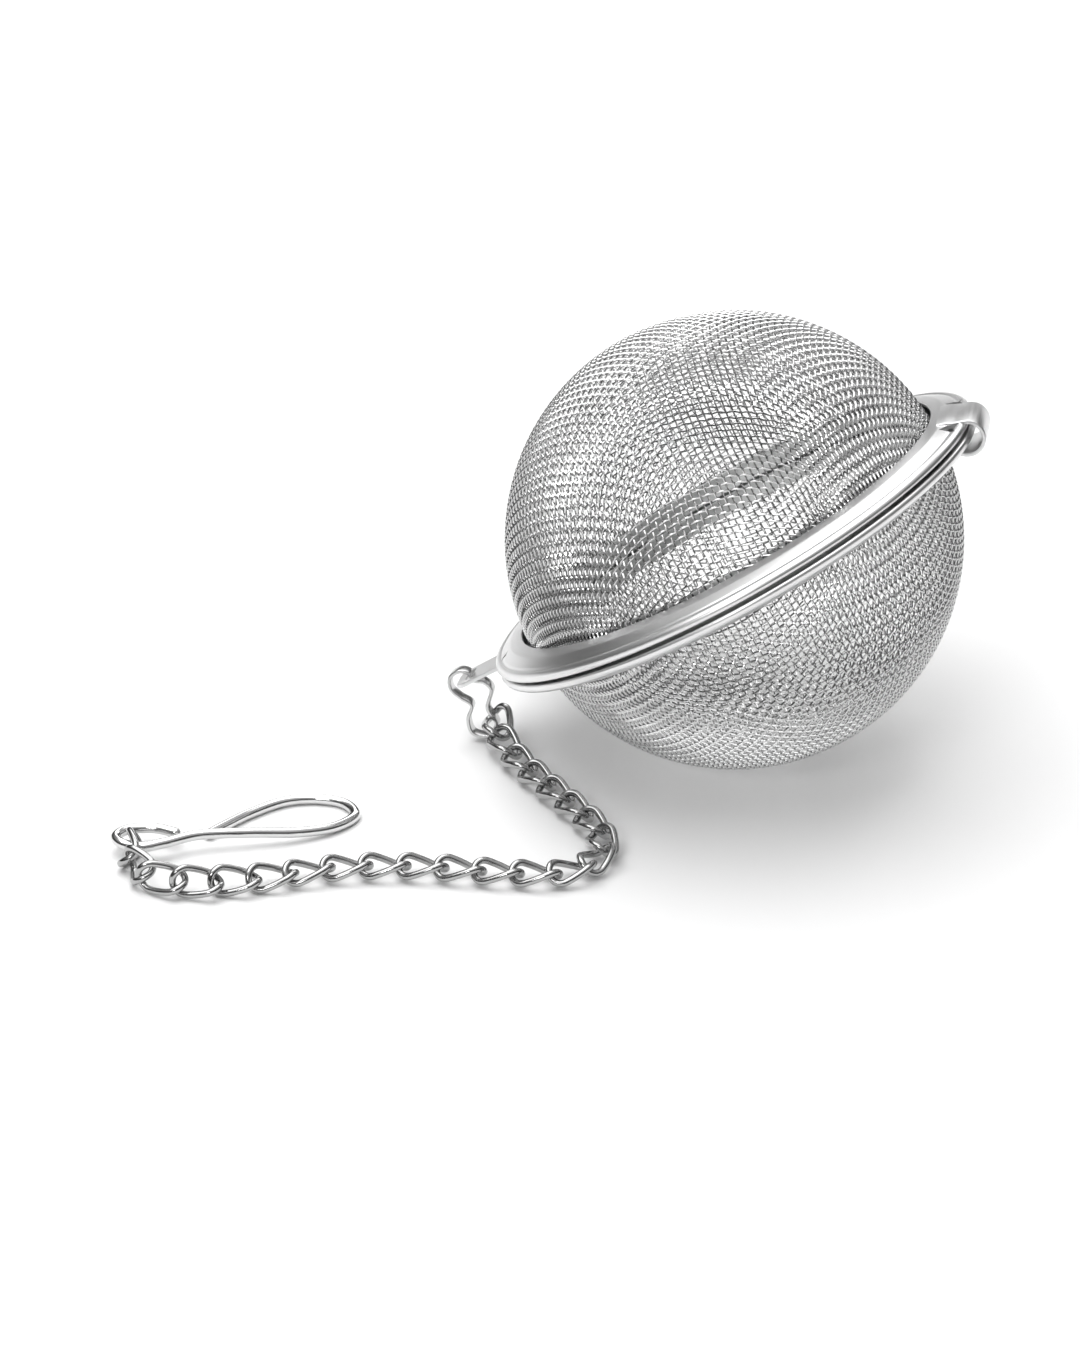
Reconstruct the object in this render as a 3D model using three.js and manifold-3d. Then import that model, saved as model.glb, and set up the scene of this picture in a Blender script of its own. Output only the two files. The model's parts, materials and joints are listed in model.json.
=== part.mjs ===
// A mesh ball tea infuser: two woven-wire bowls in pressed steel rims, hinged together, with a curb chain
// and a wire hook. The closed ball stands tilted on the surface z = 0 with its chain laid out in front.
// Millimetres, +Z up, +X from the hook towards the ball, the chain's run on the -Y side.
// Ring frame of the ball: x from its centre to the hinge, y along the hinge, z up through the upper bowl.
import * as THREE from 'three';
import { mergeVertices } from 'three/addons/utils/BufferGeometryUtils.js';
import Module from 'manifold-3d';

const wasm = await Module();
wasm.setup();

const { Vector2, Vector3 } = THREE;
const DEGREE = Math.PI / 180;

// ---- driving dimensions ----
const ballRadius = 25; // outside of the wire cloth
const clothThickness = 0.45;
const clothEdge = 1; // height of the cloth's edge above the seam, inside the folded rim
const sheet = 0.45; // thickness of the pressed steel
const rimRadius = 29.4; // outside of the lip
const rimHeight = 2.2; // top of the flange where it grips the cloth
const seamGap = 0.3; // between the two closed rims
const leafRadius = 23.6; // inside of the fold that backs the cloth
const leafThickness = 0.4;
const leafHeight = 2.3;
const ringSteps = 56;

const hingeRadius = 28.6; // distance of the hinge line from the ball's centre
const hingeDrop = 0.75; // of the hinge line below the seam
const knuckleWidth = 7.5; // the upper rim's strap, curled round the lower rim's lip
const knuckleRadius = 1.95; // outside of the curl
const windowWidth = 9.2; // slot in the lower rim that leaves the lip standing as the hinge pin
const windowInner = 26.2;
const windowOuter = 27.9;
const neckFoot = { radius: 26.9, top: 1.88, underside: 1.45 }; // where the strap leaves the flange
const neckTear = { radius: 27.7, length: 2, width: 2.6, gap: 1.25 }; // at each side of the strap
const tabTear = { radius: 28.1, angle: 14 * DEGREE, length: 1.3, width: 0.8 }; // at each side of the tongue

const tongueWidth = 5.3;
const tongueReach = 35.2; // from the ball's centre to the tongue's tip
const tongueSlot = { inner: 33.05, outer: 34.2, width: 3.4 };

const strapWidth = 1.7; // of the flat strip that joins the tongue to the chain
const strapThickness = 0.4;

const wireRadius = 0.39; // chain wire
const linkCount = 23; // from the strap link to the hook
const linkPitch = 4; // from one crossing to the next, drawn tight
const linkHalfWidth = 1.41; // to the middle of the wire
const linkClearance = 0.32; // between the wires of two links at their crossing
const linkTwist = 45 * DEGREE; // each end of a curb link is turned this much, in opposite senses
const linkSteps = 14;
const linkSides = 6;
const laidHeight = 1.45; // middle of a link that lies on the surface

const hookRadius = 0.575; // hook wire
const hookSides = 6;
const hookSteps = 58;

// the closed ball's place: its centre over the origin, and its ring's turn and tilts
const ballTurn = -3.9 * DEGREE;
const ballPitch = -30.8 * DEGREE;
const ballRoll = -9.1 * DEGREE;

// ---- materials ----
const metal = (colour, roughness) => new THREE.MeshStandardMaterial({ color: colour, metalness: 1, roughness });
const rimSteel = metal(0xd4d6d8, 0.32);
const clothSteel = metal(0xb9bcbf, 0.4);
const chainSteel = metal(0xa9acb0, 0.22);
const hookSteel = metal(0xb4b7ba, 0.18);

// ---- solids ----
function positionOnly(geometry) {
  const bare = geometry.clone();
  for (const name of Object.keys(bare.attributes)) {
    if (name !== 'position') bare.deleteAttribute(name);
  }
  return mergeVertices(bare, 1e-4);
}

function toSolid(geometry) {
  const merged = positionOnly(geometry);
  const vertProperties = new Float32Array(merged.attributes.position.array);
  const triVerts = new Uint32Array(merged.index.array);
  return new wasm.Manifold(new wasm.Mesh({ numProp: 3, vertProperties, triVerts }));
}

function toGeometry(solid) {
  const { vertProperties, triVerts } = solid.getMesh();
  const geometry = new THREE.BufferGeometry();
  geometry.setAttribute('position', new THREE.BufferAttribute(vertProperties, 3));
  geometry.setIndex(new THREE.BufferAttribute(triVerts, 1));
  geometry.computeVertexNormals();
  return geometry;
}

// a closed profile of [radius, height] points, anticlockwise, turned about the Z axis
function turned(profile, steps) {
  const points = [...profile, profile[0]].map(([r, z]) => new Vector2(r, z));
  return new THREE.LatheGeometry(points, steps).rotateX(Math.PI / 2);
}

// an outline in the XZ plane, extruded by width along Y and centred on it
function extrudedAcross(shape, width) {
  const settings = { depth: width, bevelEnabled: false, curveSegments: 6 };
  return new THREE.ExtrudeGeometry(shape, settings).rotateX(Math.PI / 2).translate(0, width / 2, 0);
}

// an outline in the XY plane, extruded from low up to high
function extrudedUp(shape, low, high) {
  const settings = { depth: high - low, bevelEnabled: false, curveSegments: 4 };
  return new THREE.ExtrudeGeometry(shape, settings).translate(0, 0, low);
}

function block(x0, x1, halfWidth, z0, z1) {
  return new THREE.BoxGeometry(x1 - x0, 2 * halfWidth, z1 - z0).translate((x0 + x1) / 2, 0, (z0 + z1) / 2);
}

function roundSection(radius, sides) {
  const ring = Array.from({ length: sides }, (_, k) => {
    const angle = (2 * Math.PI * k) / sides;
    return new Vector2(radius * Math.cos(angle), radius * Math.sin(angle));
  });
  return new THREE.Shape(ring);
}

// ---- rims ----
// the section of the upper rim: a sheet folded into a channel that grips the cloth's edge,
// with a sloping flange outside, a rolled lip, a flat seam face and a short leaf inside the cloth
function rimSection() {
  const seam = seamGap / 2;
  const floor = seam + sheet;
  return [
    [leafRadius, leafHeight],
    [leafRadius, seam + 0.1],
    [leafRadius + 0.1, seam],
    [rimRadius - 0.5, seam],
    [rimRadius - 0.14, 0.22],
    [rimRadius, 0.48],
    [rimRadius - 0.2, 0.8],
    [rimRadius - 1, 1.32],
    [rimRadius - 2.5, 1.9],
    [ballRadius + 0.35, rimHeight],
    [ballRadius + 0.3, rimHeight - sheet],
    [rimRadius - 2.8, 1.5],
    [rimRadius - 1.4, 1.02],
    [rimRadius - 0.65, floor],
    [leafRadius + leafThickness, floor],
    [leafRadius + leafThickness, leafHeight],
  ];
}

// the strap's side view in the XZ plane: a neck from the flange, then a curl round the hinge line
function knuckleOutline() {
  const start = 82 * DEGREE;
  const end = -165 * DEGREE;
  const inner = knuckleRadius - sheet;
  const shape = new THREE.Shape();
  shape.moveTo(neckFoot.radius, neckFoot.top);
  shape.absarc(hingeRadius, -hingeDrop, knuckleRadius, start, end, true);
  shape.absarc(hingeRadius, -hingeDrop, inner, end, start, false);
  shape.lineTo(neckFoot.radius, neckFoot.underside);
  return shape;
}

// a pointed tear in the flange, where the sheet was cut to bend a tab out of it
function tearOutline(x, y, length, width) {
  const shape = new THREE.Shape();
  shape.moveTo(x - length / 2, y);
  shape.lineTo(x - 0.1 * length, y - width / 2);
  shape.lineTo(x + length / 2, y - 0.2 * width);
  shape.lineTo(x + 0.3 * length, y + width / 2);
  return shape;
}

function tear(x, y, length, width) {
  return toSolid(extrudedUp(tearOutline(x, y, length, width), seamGap / 2 + sheet + 0.15, rimHeight + 1));
}

function upperRim() {
  let rim = toSolid(turned(rimSection(), ringSteps));
  rim = rim.add(toSolid(extrudedAcross(knuckleOutline(), knuckleWidth)));
  for (const side of [-1, 1]) {
    const besideStrap = side * (knuckleWidth / 2 + neckTear.gap);
    rim = rim.subtract(tear(neckTear.radius, besideStrap, neckTear.length, side * neckTear.width));
    const x = -tabTear.radius * Math.cos(tabTear.angle);
    const y = side * tabTear.radius * Math.sin(tabTear.angle);
    rim = rim.subtract(tear(x, y, tabTear.length, side * tabTear.width));
  }
  return toGeometry(rim);
}

// the flat tongue, with round corners, and the slot near its tip
function tongueOutline() {
  const root = -(rimRadius - 1.4);
  const half = tongueWidth / 2;
  const corner = 1.2;
  const shape = new THREE.Shape();
  shape.moveTo(root, half);
  shape.lineTo(-tongueReach + corner, half - 0.25);
  shape.quadraticCurveTo(-tongueReach, half - 0.25, -tongueReach, half - 0.25 - corner);
  shape.lineTo(-tongueReach, corner + 0.25 - half);
  shape.quadraticCurveTo(-tongueReach, 0.25 - half, -tongueReach + corner, 0.25 - half);
  shape.lineTo(root, -half);
  return shape;
}

function lowerRim() {
  const seam = seamGap / 2;
  let rim = toSolid(turned(rimSection(), ringSteps).rotateX(Math.PI));
  rim = rim.add(toSolid(extrudedUp(tongueOutline(), -seam - sheet, -seam)));
  const { inner, outer, width } = tongueSlot;
  rim = rim.subtract(toSolid(block(-outer, -inner, width / 2, -1, 0)));
  rim = rim.subtract(toSolid(block(windowInner, windowOuter, windowWidth / 2, -rimHeight - 1, 0)));
  return toGeometry(rim);
}

// ---- woven bowls ----
// a bowl of wire cloth as a thin shell, open at the seam; up is +1 for the upper one
function bowl(up) {
  const rows = 8;
  const edge = Math.asin(clothEdge / ballRadius);
  const arc = (radius, k) => {
    const angle = edge + ((Math.PI / 2 - edge) * k) / rows;
    return k === rows ? [0, radius] : [radius * Math.cos(angle), radius * Math.sin(angle)];
  };
  const outside = Array.from({ length: rows + 1 }, (_, k) => arc(ballRadius, k));
  const inside = Array.from({ length: rows + 1 }, (_, k) => arc(ballRadius - clothThickness, rows - k));
  const geometry = turned([...outside, ...inside], 40);
  return positionOnly(up > 0 ? geometry : geometry.rotateX(Math.PI));
}

// ---- strap link ----
// the middle line of the strip, as a closed curve in the ring frame's XZ plane: a wide loop round the
// tongue's tip and through its slot, a waist, and a small loop that holds the chain
const strapLine = new THREE.CatmullRomCurve3(
  [
    [-33.62, 0.2], [-34.4, 0.85], [-35.7, 0.7], [-36.3, -0.5], [-35.85, -1.9], [-35.2, -3.2],
    [-36.4, -4.5], [-36.7, -6.1], [-35.3, -7.15], [-33.8, -6.4], [-33.75, -4.3], [-32.3, -2.6],
    [-32.6, -1.5], [-33.5, -0.8],
  ].map(([x, z]) => new Vector3(x, 0, z)),
  true,
);

function strapLink() {
  const steps = 40;
  const side = (offset) => Array.from({ length: steps }, (_, k) => {
    const point = strapLine.getPointAt(k / steps);
    const along = strapLine.getTangentAt(k / steps);
    return new Vector2(point.x + offset * along.z, point.z - offset * along.x);
  });
  const shape = new THREE.Shape(side(strapThickness / 2));
  shape.holes.push(new THREE.Path(side(-strapThickness / 2)));
  return positionOnly(extrudedAcross(shape, strapWidth));
}

// ---- chain ----
const crossing = wireRadius + linkClearance / 2; // from a crossing's middle to the middle of each wire
const linkHalfLength = linkPitch / 2 + crossing; // to the middle of the wire at a link's end

// one curb link along X: a ring of wire pulled long, then twisted about its length
function curbLink() {
  const geometry = new THREE.TorusGeometry(linkHalfWidth, wireRadius, linkSides, linkSteps);
  const straight = linkHalfLength - linkHalfWidth;
  const { position } = geometry.attributes;
  const point = new Vector3();
  for (let k = 0; k < position.count; k += 1) {
    point.fromBufferAttribute(position, k);
    point.x += straight * Math.sign(point.x);
    point.applyAxisAngle(new Vector3(1, 0, 0), (-linkTwist * point.x) / linkHalfLength);
    position.setXYZ(k, point.x, point.y, point.z);
  }
  return positionOnly(geometry);
}

// the chain's route on the surface, from the strap link to the hook's eye
const route = new THREE.CatmullRomCurve3(
  [
    [-25.9, 2.35, 2.5], [-25.8, -1.5, 2.15], [-24.3, -5.3, 1.6], [-19.6, -13.8, laidHeight],
    [-16.3, -19.6, laidHeight], [-14.3, -24.6, laidHeight], [-14.9, -29.0, laidHeight],
    [-18.6, -31.9, laidHeight], [-24.5, -31.8, laidHeight], [-34.0, -30.4, laidHeight],
    [-42.0, -30.6, laidHeight], [-48.0, -32.2, laidHeight], [-53.4, -34.0, laidHeight],
    [-58.4, -34.3, 1.7], [-62.8, -32.4, 1.85], [-64.7, -28.3, 1.85], [-63.9, -25.3, 1.85],
  ].map(([x, y, z]) => new Vector3(x, y, z)),
);

// the crossings between neighbouring links, equally spaced along the route
const crossings = route.getSpacedPoints(linkCount);

// how far each link is rolled about its length from lying flat, in degrees: the first hangs on the
// strap link and the last stands up on the hook's eye
function linkRoll(index) {
  const opening = [8, 4][index] ?? 0;
  const closing = [-80, -68, -55, -42, -28, -14][linkCount - 1 - index] ?? 0;
  return (opening + closing) * DEGREE;
}

// a link between two points, its length along the line that joins them
function placeLink(mesh, centre, direction, roll) {
  const sideways = new Vector3(0, 0, 1).cross(direction).normalize();
  const upward = direction.clone().cross(sideways);
  mesh.quaternion.setFromRotationMatrix(new THREE.Matrix4().makeBasis(direction, sideways, upward));
  mesh.rotateX(roll);
  mesh.position.copy(centre);
}

// ---- hook ----
// one wire: a small eye for the chain, a long shaft, and a wide bend that comes back behind the shaft
const hookLine = new THREE.CatmullRomCurve3(
  [
    [-59.9, -23.8, 1.8], [-62.2, -22.8, 1.8], [-65.2, -23.1, 1.75], [-66.2, -24.6, 1.75], [-65.4, -26.1, 1.75],
    [-63.2, -26.8, 1.75], [-60.9, -26.1, 1.85], [-57.6, -24.6, 1.95], [-52.0, -23.6, 1.7], [-46.8, -22.4, 1.1],
    [-42.9, -20.4, 0.7], [-41.0, -17.6, 0.62], [-42.3, -15.1, 0.62], [-45.3, -14.1, 0.62], [-48.6, -14.6, 0.62],
    [-52.3, -17.3, 0.62], [-55.0, -20.2, 0.62], [-56.5, -21.9, 0.6],
  ].map(([x, y, z]) => new Vector3(x, y, z)),
);

function hookWire() {
  const settings = { steps: hookSteps, extrudePath: hookLine, bevelEnabled: false };
  return positionOnly(new THREE.ExtrudeGeometry(roundSection(hookRadius, hookSides), settings));
}

// ---- assembly ----
function named(name, geometry, material) {
  const mesh = new THREE.Mesh(geometry, material.clone());
  mesh.name = name;
  return mesh;
}

const infuser = new THREE.Group();

const ball = new THREE.Group();
ball.position.set(0, 0, ballRadius);
ball.rotation.set(ballRoll, ballPitch, ballTurn, 'ZYX');
ball.add(named('lower_rim', lowerRim(), rimSteel));
ball.add(named('lower_mesh', bowl(-1), clothSteel));
ball.add(named('upper_rim', upperRim(), rimSteel));
ball.add(named('upper_mesh', bowl(1), clothSteel));
ball.add(named('strap_link', strapLink(), rimSteel));
infuser.add(ball);

const chain = new THREE.Group();
const linkGeometry = curbLink();
for (let k = 0; k < linkCount; k += 1) {
  const link = named(`chain_link_${String(k + 1).padStart(2, '0')}`, linkGeometry, chainSteel);
  const [start, end] = [crossings[k], crossings[k + 1]];
  const direction = end.clone().sub(start).normalize();
  placeLink(link, start.clone().add(end).multiplyScalar(0.5), direction, linkRoll(k));
  chain.add(link);
}
infuser.add(chain);

infuser.add(named('hook', hookWire(), hookSteel));

// the origin goes to the middle of the whole object's footprint, on the surface it stands on
const bounds = new THREE.Box3().setFromObject(infuser, true);
infuser.position.set(-(bounds.min.x + bounds.max.x) / 2, -(bounds.min.y + bounds.max.y) / 2, -bounds.min.z);

export default infuser;
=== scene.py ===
"""A closed mesh ball tea infuser with its chain and hook laid out in front of it, in a plain studio."""

import json
import math

import bpy
import numpy as np
from mathutils import Matrix, Vector


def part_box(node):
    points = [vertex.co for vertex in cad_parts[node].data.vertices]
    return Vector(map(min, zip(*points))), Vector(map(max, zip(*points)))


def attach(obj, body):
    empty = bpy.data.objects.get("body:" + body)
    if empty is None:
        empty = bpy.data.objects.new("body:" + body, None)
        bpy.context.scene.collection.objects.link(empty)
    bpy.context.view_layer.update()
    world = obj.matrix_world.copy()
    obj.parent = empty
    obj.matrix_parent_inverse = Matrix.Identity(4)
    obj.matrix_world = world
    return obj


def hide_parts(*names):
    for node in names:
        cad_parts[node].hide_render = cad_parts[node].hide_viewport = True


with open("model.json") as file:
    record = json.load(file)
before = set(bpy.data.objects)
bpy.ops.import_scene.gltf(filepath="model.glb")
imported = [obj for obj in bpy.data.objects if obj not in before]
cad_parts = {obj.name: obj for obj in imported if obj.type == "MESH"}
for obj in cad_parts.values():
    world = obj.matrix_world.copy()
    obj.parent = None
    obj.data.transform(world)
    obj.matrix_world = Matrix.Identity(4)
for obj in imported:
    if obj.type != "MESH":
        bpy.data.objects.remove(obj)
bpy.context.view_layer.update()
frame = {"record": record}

MM = 0.001

# ---- the ball's ring frame ----
# x from its centre to the hinge, y along the hinge, z up through the upper bowl
record = frame["record"]
joints = {joint["name"]: joint for joint in record["behaviour"]["joints"]}
HINGE = (28.6, -0.75)  # x and z of the lid's hinge line and of the strap link's, in mm
STRAP_PIVOT = (-34.7, -0.375)

hinge_point, strap_point = (Vector(joints[name]["pos_m"]) for name in ("lid_hinge", "strap_swing"))
ring_y = Vector(joints["lid_hinge"]["axis"]).normalized()
slope = math.atan2(HINGE[1] - STRAP_PIVOT[1], HINGE[0] - STRAP_PIVOT[0])
ring_x = Matrix.Rotation(slope, 3, ring_y) @ (hinge_point - strap_point).normalized()
ring_axes = Matrix((ring_x, ring_y, ring_x.cross(ring_y))).transposed()
ball_centre = hinge_point - ring_axes @ Vector((HINGE[0], 0, HINGE[1])) * MM
RING = Matrix.Translation(ball_centre) @ ring_axes.to_4x4() @ Matrix.Scale(MM, 4)

# ---- sizes, in mm ----
SEAM = 0.15  # half the gap between the closed rims
SHEET = 0.45
RIM_STEPS = 288

CLOTH_MIDDLE = 24.775  # radius of the cloth's middle surface
CLOTH_EDGE = 1.0
CLOTH_PITCH = 0.77
CLOTH_WIRE = 0.1  # radius
CLOTH_TURN = math.radians(4)  # of the threads from the hinge line
CLOTH_SAMPLES = 4  # along a thread, from one crossing to the next
CLOTH_SIDES = 5

STRAP_WIDTH = 7.5  # of the upper rim's strap, curled round the lower rim's lip
CURL_RADIUS = 1.79  # to the middle of the sheet
CURL_START, CURL_END = 82, -165  # degrees round the hinge line
NECK_TEAR = {"radius": 27.7, "gap": 1.25, "length": 2.1, "width": 2.7}  # at each side of the strap
TAB_TEAR = {"radius": 28.0, "angle": math.radians(14), "length": 1.3, "width": 0.8}  # and of the tongue
WINDOW = {"inner": 26.2, "outer": 27.9, "half_width": 4.6}  # behind the lip that is the hinge pin
STRIP_WIDTH = 1.7  # of the strap link
STRIP_THICKNESS = 0.4
LINK_COUNT = 23
LINK_WIRE = 0.385
LINK_HALF_WIDTH = 1.41
LINK_STRAIGHT = 1.14
LINK_TWIST = math.radians(45)
# degrees each link is rolled from lying flat: the first ones, and the last ones counted back from the hook
FIRST_ROLLS = (8, 4)
LAST_ROLLS = (-80, -68, -55, -42, -28, -14)
HOOK_WIRE = 0.57


# ---- materials ----
def steel(name, colour, roughness, grain, bump, spun=False):
    """Bare steel with fine grain in its roughness and relief; spun grain runs in circles round the ball."""
    material = bpy.data.materials.new(name)
    material.use_nodes = True
    nodes, links = material.node_tree.nodes, material.node_tree.links
    shader = nodes["Principled BSDF"]
    shader.inputs["Base Color"].default_value = (*colour, 1)
    shader.inputs["Metallic"].default_value = 1
    if spun:
        radius_and_height = nodes.new("ShaderNodeAttribute")
        radius_and_height.attribute_name = "turning"
        place = radius_and_height.outputs["Vector"]
    else:
        place = nodes.new("ShaderNodeTexCoord").outputs["Object"]
    fine = nodes.new("ShaderNodeTexNoise")
    fine.inputs["Scale"].default_value = grain
    fine.inputs["Detail"].default_value = 4
    links.new(place, fine.inputs["Vector"])
    spread = nodes.new("ShaderNodeMapRange")
    spread.inputs["To Min"].default_value = roughness[0]
    spread.inputs["To Max"].default_value = roughness[1]
    links.new(fine.outputs["Fac"], spread.inputs["Value"])
    links.new(spread.outputs["Result"], shader.inputs["Roughness"])
    relief = nodes.new("ShaderNodeBump")
    relief.inputs["Strength"].default_value = bump
    relief.inputs["Distance"].default_value = 0.02 * MM
    links.new(fine.outputs["Fac"], relief.inputs["Height"])
    links.new(relief.outputs["Normal"], shader.inputs["Normal"])
    return material


RIM_STEEL = steel("rim_steel", (0.76, 0.76, 0.76), (0.24, 0.42), 6, 0.2, spun=True)
STRIP_STEEL = steel("strip_steel", (0.62, 0.62, 0.62), (0.16, 0.3), 1400, 0.2)
CLOTH_STEEL = steel("cloth_steel", (0.64, 0.64, 0.64), (0.1, 0.26), 1800, 0.2)
CHAIN_STEEL = steel("chain_steel", (0.42, 0.42, 0.42), (0.1, 0.22), 1600, 0.25)
HOOK_STEEL = steel("hook_steel", (0.68, 0.68, 0.68), (0.07, 0.18), 1600, 0.15)


# ---- mesh code ----
def linked(name, data):
    """A new object in the scene."""
    made = bpy.data.objects.new(name, data)
    bpy.context.scene.collection.objects.link(made)
    return made


def piece(name, vertices, faces, material, body, slot, node, place=None, sharp=40):
    """A visible piece from vertices in mm and faces."""
    if isinstance(faces, np.ndarray):
        faces = faces.tolist()
    mesh = bpy.data.meshes.new(name)
    mesh.from_pydata(np.asarray(vertices).tolist(), [], faces)
    finished(name, mesh, material, body, node, place, sharp)


def finished(name, mesh, material, body, node, place=None, sharp=40):
    """A smooth-shaded visible piece that rides a body; place takes its mesh from mm to the row frame."""
    mesh.polygons.foreach_set("use_smooth", [True] * len(mesh.polygons))
    mesh.set_sharp_from_angle(angle=math.radians(sharp))
    mesh.materials.clear()
    mesh.materials.append(material)
    points = np.array([vertex.co for vertex in mesh.vertices])
    radius = np.hypot(points[:, 0], points[:, 1])
    turning = np.stack((radius, points[:, 2], np.zeros(len(points))), axis=1)
    attribute = mesh.attributes.new("turning", "FLOAT_VECTOR", "POINT")
    attribute.data.foreach_set("vector", turning.ravel())
    mesh.transform(place or Matrix.Scale(MM, 4))
    mesh.update()
    made = linked(name, mesh)
    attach(made, body)
    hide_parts(node)


def unit(vectors):
    return vectors / np.linalg.norm(vectors, axis=-1, keepdims=True)


def circle(radius, sides):
    angle = np.arange(sides) * 2 * math.pi / sides
    return np.stack((radius * np.cos(angle), radius * np.sin(angle)), axis=1)


def rounded(points, cut_back, steps=3):
    """A closed outline with its corners rounded off by quadratic curves."""
    points = np.asarray(points, float)
    made = []
    for before, corner, after in zip(np.roll(points, 1, 0), points, np.roll(points, -1, 0)):
        back, ahead = before - corner, after - corner
        start = corner + back * min(cut_back / np.linalg.norm(back), 0.45)
        end = corner + ahead * min(cut_back / np.linalg.norm(ahead), 0.45)
        for t in np.linspace(0, 1, steps + 1):
            made.append((1 - t) ** 2 * start + 2 * t * (1 - t) * corner + t * t * end)
    return np.array(made)


def strip_section(width, thickness):
    half_w, half_t = width / 2, thickness / 2
    corners = [(half_t, -half_w), (half_t, half_w), (-half_t, half_w), (-half_t, -half_w)]
    return rounded(corners, 0.12)


def grid_faces(rows, columns, closed_rows):
    """Quads of a grid whose columns close on themselves."""
    last = rows if closed_rows else rows - 1
    row, column = np.meshgrid(np.arange(last), np.arange(columns), indexing="ij")
    ahead, beside = (row + 1) % rows, (column + 1) % columns
    this_row, next_row = row * columns, ahead * columns
    quads = (this_row + column, this_row + beside, next_row + beside, next_row + column)
    return np.stack(quads, axis=-1).reshape(-1, 4)


def swept(path, section, normals, closed=False, domed=False):
    """Carries a section along a path; its first axis lies along the normals. Domed ends are rounded off."""
    tangents = unit(np.roll(path, -1, 0) - np.roll(path, 1, 0) if closed else np.gradient(path, axis=0))
    normals = unit(normals - tangents * np.sum(normals * tangents, axis=1, keepdims=True))
    scales = np.ones(len(path))
    if domed:
        reach = np.abs(section).max()
        angles = np.linspace(0.06, math.pi / 2, 5)[:-1]
        grow, push = np.sin(angles), reach * np.cos(angles)[:, None]
        before, after = path[0] - push * tangents[0], path[-1] + push[::-1] * tangents[-1]
        path = np.concatenate((before, path, after))
        extra = ((len(angles), len(angles)), (0, 0))
        normals = np.pad(normals, extra, mode="edge")
        tangents = np.pad(tangents, extra, mode="edge")
        scales = np.concatenate((grow, scales, grow[::-1]))
    second = np.cross(tangents, normals)
    scaled = section[None] * scales[:, None, None]
    rings = path[:, None] + scaled[..., :1] * normals[:, None] + scaled[..., 1:] * second[:, None]
    rows, columns = rings.shape[:2]
    faces = grid_faces(rows, columns, closed).tolist()
    if not closed:
        faces.append(list(range(columns))[::-1])
        faces.append([(rows - 1) * columns + k for k in range(columns)])
    return rings.reshape(-1, 3), faces


def centripetal(points, count, closed=False):
    """A centripetal Catmull-Rom curve through the points, as equally spaced points."""
    points = np.asarray(points, float)
    if closed:
        padded = np.concatenate((points[-1:], points, points[:2]))
    else:
        padded = np.concatenate((2 * points[:1] - points[1:2], points, 2 * points[-1:] - points[-2:-1]))
    dense = []
    for p0, p1, p2, p3 in zip(padded, padded[1:], padded[2:], padded[3:]):
        d0, d1, d2 = (math.sqrt(np.linalg.norm(b - a)) for a, b in ((p0, p1), (p1, p2), (p2, p3)))
        leave = ((p1 - p0) / d0 - (p2 - p0) / (d0 + d1) + (p2 - p1) / d1) * d1
        arrive = ((p2 - p1) / d1 - (p3 - p1) / (d1 + d2) + (p3 - p2) / d2) * d1
        t = np.linspace(0, 1, 60, endpoint=False)[:, None]
        curve = (2 * t**3 - 3 * t**2 + 1) * p1 + (t**3 - 2 * t**2 + t) * leave
        dense.append(curve + (3 * t**2 - 2 * t**3) * p2 + (t**3 - t**2) * arrive)
    dense = np.concatenate((*dense, points[:1] if closed else points[-1:]))
    walked = np.concatenate(([0], np.cumsum(np.linalg.norm(np.diff(dense, axis=0), axis=1))))
    stops = np.linspace(0, walked[-1], count, endpoint=not closed)
    return np.stack([np.interp(stops, walked, dense[:, k]) for k in range(3)], axis=1)


def carried_normals(path, first):
    """Normals carried along an open path without twisting."""
    tangents = unit(np.gradient(path, axis=0))
    normals = [np.asarray(first, float)]
    for tangent in tangents[1:]:
        normals.append(normals[-1] - tangent * normals[-1].dot(tangent))
        normals[-1] /= np.linalg.norm(normals[-1])
    return np.array(normals)


def turned(profile, steps):
    """A closed (radius, height) profile turned about Z."""
    angle = np.arange(steps) * 2 * math.pi / steps
    radius, height = np.asarray(profile).T
    around = np.cos(angle)[:, None] * radius, np.sin(angle)[:, None] * radius
    vertices = np.stack((*around, np.broadcast_to(height, around[0].shape)), axis=-1).reshape(-1, 3)
    return vertices, grid_faces(steps, len(radius), True)[:, ::-1].tolist()


def prism(outline, low, high):
    """A straight-sided solid on an outline in the XY plane."""
    count = len(outline)
    vertices = [(x, y, z) for z in (low, high) for x, y in outline]
    faces = [[k, (k + 1) % count, count + (k + 1) % count, count + k] for k in range(count)]
    return vertices, faces + [list(range(count))[::-1], list(range(count, 2 * count))]


def joined(*parts):
    """Several (vertices, faces) as one."""
    vertices, faces = [], []
    for some_vertices, some_faces in parts:
        start = len(vertices)
        vertices += np.asarray(some_vertices).tolist()
        faces += [[start + index for index in face] for face in some_faces]
    return vertices, faces


def cut(body, cutter):
    """The mesh of a solid with the cutter's solid taken out of it."""
    made = []
    for name, (vertices, faces) in (("body", body), ("cutter", cutter)):
        mesh = bpy.data.meshes.new(name)
        mesh.from_pydata(np.asarray(vertices).tolist(), [], faces)
        made.append(linked(name, mesh))
    modifier = made[0].modifiers.new("cut", "BOOLEAN")
    modifier.operation = "DIFFERENCE"
    modifier.solver = "EXACT"
    modifier.object = made[1]
    solved = made[0].evaluated_get(bpy.context.evaluated_depsgraph_get())
    mesh = bpy.data.meshes.new_from_object(solved)
    for helper in made:
        bpy.data.objects.remove(helper)
    return mesh


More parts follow.
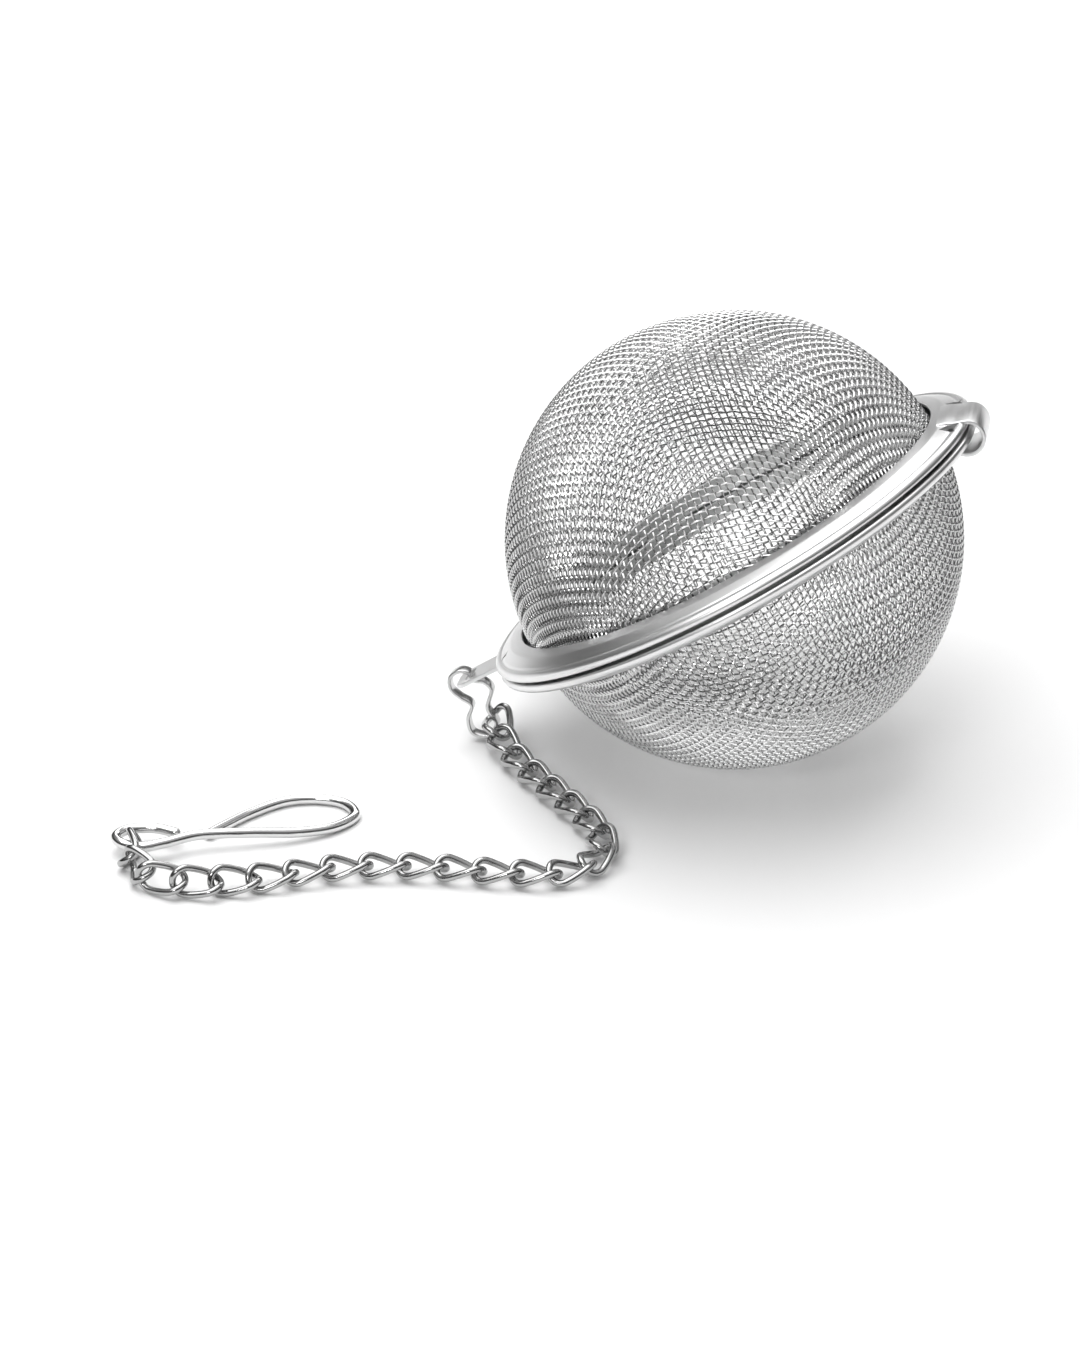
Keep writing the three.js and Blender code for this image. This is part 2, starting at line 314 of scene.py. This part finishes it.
# ---- rims ----
RIM_SECTION = rounded(
    [
        (23.6, 2.3), (23.6, SEAM), (28.95, SEAM), (29.28, 0.24), (29.4, 0.52), (29.32, 0.86),
        (29.02, 1.16), (28.68, 1.24), (28.4, 1.16), (28.15, 1.36), (26.9, 1.9), (25.35, 2.2),
        (25.3, 2.2 - SHEET), (26.6, 1.5), (28.0, 1.02), (28.75, SEAM + SHEET),
        (24.0, SEAM + SHEET), (24.0, 2.3),
    ],
    0.14,
)


def pointed_tear(x, y, length, width):
    """A cutter for a ragged hole in the flange; a negative width mirrors it."""
    shape = [(-0.5, 0), (-0.1, -0.4), (0.5, -0.5), (0.2, 0.1), (0.3, 0.5), (-0.2, 0.2)]
    outline = [(x + along * length, y + across * width) for along, across in shape]
    return prism(outline if width > 0 else outline[::-1], SEAM + SHEET + 0.15, 3.2)


def upper_rim():
    tears = []
    for side in (-1, 1):
        y = side * (STRAP_WIDTH / 2 + NECK_TEAR["gap"])
        tears.append(pointed_tear(NECK_TEAR["radius"], y, NECK_TEAR["length"], side * NECK_TEAR["width"]))
    for side in (-1, 1):
        x = -TAB_TEAR["radius"] * math.cos(TAB_TEAR["angle"])
        y = side * TAB_TEAR["radius"] * math.sin(TAB_TEAR["angle"])
        tears.append(pointed_tear(x, y, TAB_TEAR["length"], side * TAB_TEAR["width"]))
    mesh = cut(turned(RIM_SECTION, RIM_STEPS), joined(*tears))
    finished("upper_rim_steel", mesh, RIM_STEEL, "upper_half", "upper_rim", RING, 30)

    neck = [(x, 0, z) for x, z in ((26.3, 1.9), (27.2, 1.66), (28.0, 1.29))]
    angles = np.radians(np.linspace(CURL_START, CURL_END, 60))
    x, z = HINGE
    curl = [(x + CURL_RADIUS * math.cos(a), 0, z + CURL_RADIUS * math.sin(a)) for a in angles]
    path = centripetal(neck + curl[2::3], 110)
    flat_normals = np.cross(unit(np.gradient(path, axis=0)), (0, 1, 0))
    strap = swept(path, strip_section(STRAP_WIDTH, SHEET), flat_normals)
    piece("hinge_strap", *strap, RIM_STEEL, "upper_half", "rim_steel", "upper_rim", RING, 35)


def tongue():
    """The tongue's rounded plate and its slot, as one filled curve with softened edges."""
    curve = bpy.data.curves.new("tongue", "CURVE")
    curve.dimensions = "2D"
    curve.fill_mode = "BOTH"
    curve.extrude = SHEET / 2 - 0.06
    curve.bevel_depth = 0.06
    curve.bevel_resolution = 2
    edge = [(-27.6, 2.65), (-35.2, 2.4), (-35.2, -2.4), (-27.6, -2.65)]
    slot = [(-34.14, 1.64), (-33.11, 1.64), (-33.11, -1.64), (-34.14, -1.64)]
    for outline, cut_back, inset in ((edge, 1.2, 0.06), (slot, 0.3, 0)):
        points = rounded(outline, cut_back, 8)
        middle = points.mean(axis=0)
        points = middle + (points - middle) * (1 - inset / 4)
        spline = curve.splines.new("POLY")
        spline.points.add(len(points) - 1)
        for target, (x, y) in zip(spline.points, points):
            target.co = (x, y, 0, 1)
        spline.use_cyclic_u = True
    holder = linked("tongue", curve)
    solved = holder.evaluated_get(bpy.context.evaluated_depsgraph_get())
    mesh = bpy.data.meshes.new_from_object(solved)
    bpy.data.objects.remove(holder)
    mesh.transform(Matrix.Translation((0, 0, -SEAM - SHEET / 2)))
    finished("tongue_plate", mesh, RIM_STEEL, "lower_half", "lower_rim", RING, 30)


def lower_rim():
    inner, outer, half = WINDOW["inner"], WINDOW["outer"], WINDOW["half_width"]
    window = prism([(inner, -half), (outer, -half), (outer, half), (inner, half)], -3.2, 0)
    vertices, faces = turned(RIM_SECTION, RIM_STEPS)
    turned_over = (vertices * (1, 1, -1), [face[::-1] for face in faces])
    mesh = cut(turned_over, window)
    finished("lower_rim_steel", mesh, RIM_STEEL, "lower_half", "lower_rim", RING, 30)
    tongue()


# ---- woven bowls ----
def cloth_net():
    """Where the threads of a square cloth cross once it is pressed into a dome: unit vectors, with each
    crossing one pitch from its neighbours. The two middle threads cross at the pole."""
    reach = int(CLOTH_MIDDLE * math.pi / 2 / CLOTH_PITCH)
    step = CLOTH_PITCH / CLOTH_MIDDLE
    quarter = np.zeros((reach + 1, reach + 1, 3))
    for k in range(reach + 1):
        quarter[k, 0] = (math.sin(k * step), 0, math.cos(k * step))
        quarter[0, k] = (0, math.sin(k * step), math.cos(k * step))
    for i in range(1, reach + 1):
        for j in range(1, reach + 1):
            middle = quarter[i, j - 1] + quarter[i - 1, j]
            middle /= np.linalg.norm(middle)
            quarter[i, j] = 2 * middle * middle.dot(quarter[i - 1, j - 1]) - quarter[i - 1, j - 1]
    net = np.zeros((2 * reach + 1, 2 * reach + 1, 3))
    for sign_i in (-1, 1):
        for sign_j in (-1, 1):
            corner = net[reach::sign_i, reach::sign_j]
            corner[:] = quarter * (sign_i, sign_j, 1)
    return net, reach


def thread(crossings, phase, up):
    """One wire over and under the threads that it crosses."""
    count = (len(crossings) - 1) * CLOTH_SAMPLES + 1
    along = np.linspace(0, len(crossings) - 1, count)
    index = np.clip(along.astype(int), 0, len(crossings) - 2)
    t = (along - index)[:, None]
    before, after = 2 * crossings[:1] - crossings[1:2], 2 * crossings[-1:] - crossings[-2:-1]
    padded = np.concatenate((before, crossings, after))
    p0, p1, p2, p3 = (padded[index + k] for k in range(4))
    squared, cubed = 2 * p0 - 5 * p1 + 4 * p2 - p3, 3 * p1 - p0 - 3 * p2 + p3
    curve = 0.5 * (2 * p1 + (p2 - p0) * t + squared * t**2 + cubed * t**3)
    outward = unit(curve) * (1, 1, up)
    wave = CLOTH_WIRE * 1.05 * phase * np.cos(math.pi * along)
    path = outward * (CLOTH_MIDDLE + wave)[:, None]
    tangents = unit(np.gradient(path, axis=0))
    normals = unit(outward - tangents * np.sum(outward * tangents, axis=1, keepdims=True))
    second = np.cross(tangents, normals)
    section = circle(CLOTH_WIRE, CLOTH_SIDES)[None]
    rings = path[:, None] + section[..., :1] * normals[:, None] + section[..., 1:] * second[:, None]
    return rings.reshape(-1, 3), grid_faces(count, CLOTH_SIDES, False)


def bowls():
    net, reach = cloth_net()
    place = RING @ Matrix.Rotation(CLOTH_TURN, 4, "Z")
    for side, up in (("upper", 1), ("lower", -1)):
        for weave, grid, phase in (("warp", net, 1), ("weft", net.transpose(1, 0, 2), -1)):
            for half, rows in enumerate((range(reach), range(reach, 2 * reach + 1)), start=1):
                vertices, faces, start = [], [], 0
                for i in rows:
                    inside = grid[i, :, 2] * CLOTH_MIDDLE > CLOTH_EDGE
                    if not inside[reach]:
                        continue
                    low = reach
                    while low > 0 and inside[low - 1]:
                        low -= 1
                    high = reach
                    while high < 2 * reach and inside[high + 1]:
                        high += 1
                    if high - low < 3:
                        continue
                    some, quads = thread(grid[i, low:high + 1], phase * (-1) ** (i + low), up)
                    vertices.append(some)
                    faces.append(quads + start)
                    start += len(some)
                name, body, node = f"{side}_{weave}_{half}", f"{side}_half", f"{side}_mesh"
                shape = np.concatenate(vertices), np.concatenate(faces)
                piece(name, *shape, CLOTH_STEEL, body, "wire_cloth", node, place, 60)


# ---- strap link, chain and hook ----
STRAP_LINE = [
    (-33.62, 0.2), (-34.4, 0.85), (-35.7, 0.7), (-36.3, -0.5), (-35.85, -1.9), (-35.2, -3.2),
    (-36.4, -4.5), (-36.7, -6.1), (-35.3, -7.15), (-33.8, -6.4), (-33.75, -4.3), (-32.3, -2.6),
    (-32.6, -1.5), (-33.5, -0.8),
]


def strap_link():
    path = centripetal([(x, 0, z) for x, z in STRAP_LINE], 180, closed=True)
    flat_normals = np.cross(unit(np.roll(path, -1, 0) - np.roll(path, 1, 0)), (0, 1, 0))
    shape = swept(path, strip_section(STRIP_WIDTH, STRIP_THICKNESS), flat_normals, closed=True)
    piece("strap_loop", *shape, STRIP_STEEL, "strap", "rim_steel", "strap_link", RING, 35)


def curb_link():
    """One curb link along X: a long ring of wire, twisted about its length."""
    bend = np.linspace(-math.pi / 2, math.pi / 2, 25)
    across, up = LINK_HALF_WIDTH * np.cos(bend), LINK_HALF_WIDTH * np.sin(bend)
    right = np.stack((LINK_STRAIGHT + across, up), axis=1)
    sides = np.linspace(LINK_STRAIGHT, -LINK_STRAIGHT, 10)[1:-1]
    top = np.stack((sides, np.full(len(sides), LINK_HALF_WIDTH)), axis=1)
    outline = np.concatenate((right, top, -right, -top))
    angle = -LINK_TWIST * outline[:, 0] / (LINK_STRAIGHT + LINK_HALF_WIDTH)
    x, y = outline.T
    path = np.stack((x, y * np.cos(angle), y * np.sin(angle)), axis=1)
    upright = np.stack((np.zeros(len(x)), -np.sin(angle), np.cos(angle)), axis=1)
    return swept(path, circle(LINK_WIRE, 16), upright, closed=True)


def box_middle(node):
    low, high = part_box(node)
    return (low + high) / 2


def link_roll(index):
    from_hook = LINK_COUNT - 1 - index
    if from_hook < len(LAST_ROLLS):
        return LAST_ROLLS[from_hook]
    return FIRST_ROLLS[index] if index < len(FIRST_ROLLS) else 0


def chain():
    shape = curb_link()
    for k in range(LINK_COUNT):
        number = f"{k + 1:02d}"
        node = f"chain_link_{number}"
        middle = box_middle(node)
        if k == 0:
            along = Vector(joints["link_02_tilt"]["pos_m"]) - middle
        else:
            own = next(joints[name] for name in joints if name.startswith(f"link_{number}_"))
            along = middle - Vector(own["pos_m"])
        along.normalize()
        sideways = Vector((0, 0, 1)).cross(along).normalized()
        upward = along.cross(sideways)
        axes = Matrix((along, sideways, upward)).transposed().to_4x4()
        roll = Matrix.Rotation(math.radians(link_roll(k)), 4, "X")
        place = Matrix.Translation(middle) @ axes @ roll @ Matrix.Scale(MM, 4)
        piece(f"link_wire_{number}", *shape, CHAIN_STEEL, f"link_{number}", "chain_wire", node, place)


HOOK_LINE = [
    (-59.9, -23.8, 1.8), (-62.2, -22.8, 1.8), (-65.2, -23.1, 1.75), (-66.2, -24.6, 1.75),
    (-65.4, -26.1, 1.75), (-63.2, -26.8, 1.75), (-60.9, -26.1, 1.85), (-57.6, -24.6, 1.95),
    (-52.0, -23.6, 1.7), (-46.8, -22.4, 1.1), (-42.9, -20.4, 0.7), (-41.0, -17.6, 0.62),
    (-42.3, -15.1, 0.62), (-45.3, -14.1, 0.62), (-48.6, -14.6, 0.62), (-52.3, -17.3, 0.62),
    (-55.0, -20.2, 0.62), (-56.5, -21.9, 0.6),
]


def hook():
    path = centripetal(HOOK_LINE, 360)
    vertices, faces = swept(path, circle(HOOK_WIRE, 18), carried_normals(path, (0, 0, 1)), domed=True)
    shift = box_middle("hook") / MM - Vector((path.min(axis=0) + path.max(axis=0)) / 2)
    place = Matrix.Scale(MM, 4) @ Matrix.Translation(shift)
    piece("hook_wire", vertices, faces, HOOK_STEEL, "hook", "hook_wire", "hook", place)


upper_rim()
lower_rim()
bowls()
strap_link()
chain()
hook()


# ---- studio ----
def floor():
    mesh = bpy.data.meshes.new("floor")
    reach = 3  # metres
    corners = [(-reach, -reach, 0), (reach, -reach, 0), (reach, reach, 0), (-reach, reach, 0)]
    mesh.from_pydata(corners, [], [(0, 1, 2, 3)])
    made = linked("floor", mesh)
    material = bpy.data.materials.new("floor")
    material.use_nodes = True
    shader = material.node_tree.nodes["Principled BSDF"]
    shader.inputs["Base Color"].default_value = (0.93, 0.93, 0.93, 1)
    shader.inputs["Roughness"].default_value = 0.9
    shader.inputs["Specular IOR Level"].default_value = 0.1
    mesh.materials.append(material)


def softbox(name, place, size, power):
    light = bpy.data.lights.new(name, "AREA")
    light.shape = "RECTANGLE"
    light.size, light.size_y = size
    light.energy = power
    made = linked(name, light)
    made.location = ball_centre + Vector(place)
    made.rotation_euler = (-Vector(place)).to_track_quat("-Z", "Y").to_euler()


def surroundings():
    """A room that is dark at the horizon and lighter overhead."""
    world = bpy.data.worlds.new("studio")
    bpy.context.scene.world = world
    world.use_nodes = True
    nodes, links = world.node_tree.nodes, world.node_tree.links
    split = nodes.new("ShaderNodeSeparateXYZ")
    links.new(nodes.new("ShaderNodeTexCoord").outputs["Generated"], split.inputs[0])
    ramp = nodes.new("ShaderNodeValToRGB")
    stops = ramp.color_ramp.elements
    stops[0].position, stops[0].color = 0.05, (0.02, 0.02, 0.02, 1)
    stops[1].position, stops[1].color = 0.9, (1, 1, 1, 1)
    stops.new(0.45).color = (0.16, 0.16, 0.16, 1)
    links.new(split.outputs["Z"], ramp.inputs["Fac"])
    links.new(ramp.outputs["Color"], nodes["Background"].inputs["Color"])
    nodes["Background"].inputs["Strength"].default_value = 0.8


def camera():
    """The view: 27 degrees down along +Y, with the ball right of and above the frame's middle."""
    tilt = math.radians(27)
    forward = Vector((0, math.cos(tilt), -math.sin(tilt)))
    upward = Vector((0, math.sin(tilt), math.cos(tilt)))
    distance, scale = 520 * MM, 9.2 / MM  # to the ball's centre, and pixels per metre there
    frame_width = 1080  # pixels
    right_of_middle, above_middle = 194, 135  # of the ball's centre in that frame, in pixels
    lens = bpy.data.cameras.new("camera")
    lens.sensor_width = 36
    lens.sensor_fit = "HORIZONTAL"
    lens.lens = lens.sensor_width * scale * distance / frame_width
    lens.clip_start = 0.01
    made = linked("camera", lens)
    made.location = ball_centre - distance * forward
    made.location -= Vector((right_of_middle / scale, 0, 0)) + above_middle / scale * upward
    made.rotation_euler = (math.pi / 2 - tilt, 0, 0)
    bpy.context.scene.camera = made


floor()
softbox("key", (-0.2, 0.1, 0.8), (1.1, 0.9), 7)
softbox("front", (-0.35, -0.7, 0.45), (0.3, 0.12), 1.2)
softbox("back", (0.1, 0.8, 0.5), (0.8, 0.3), 2)
surroundings()
camera()
bpy.context.scene.view_settings.view_transform = "Standard"
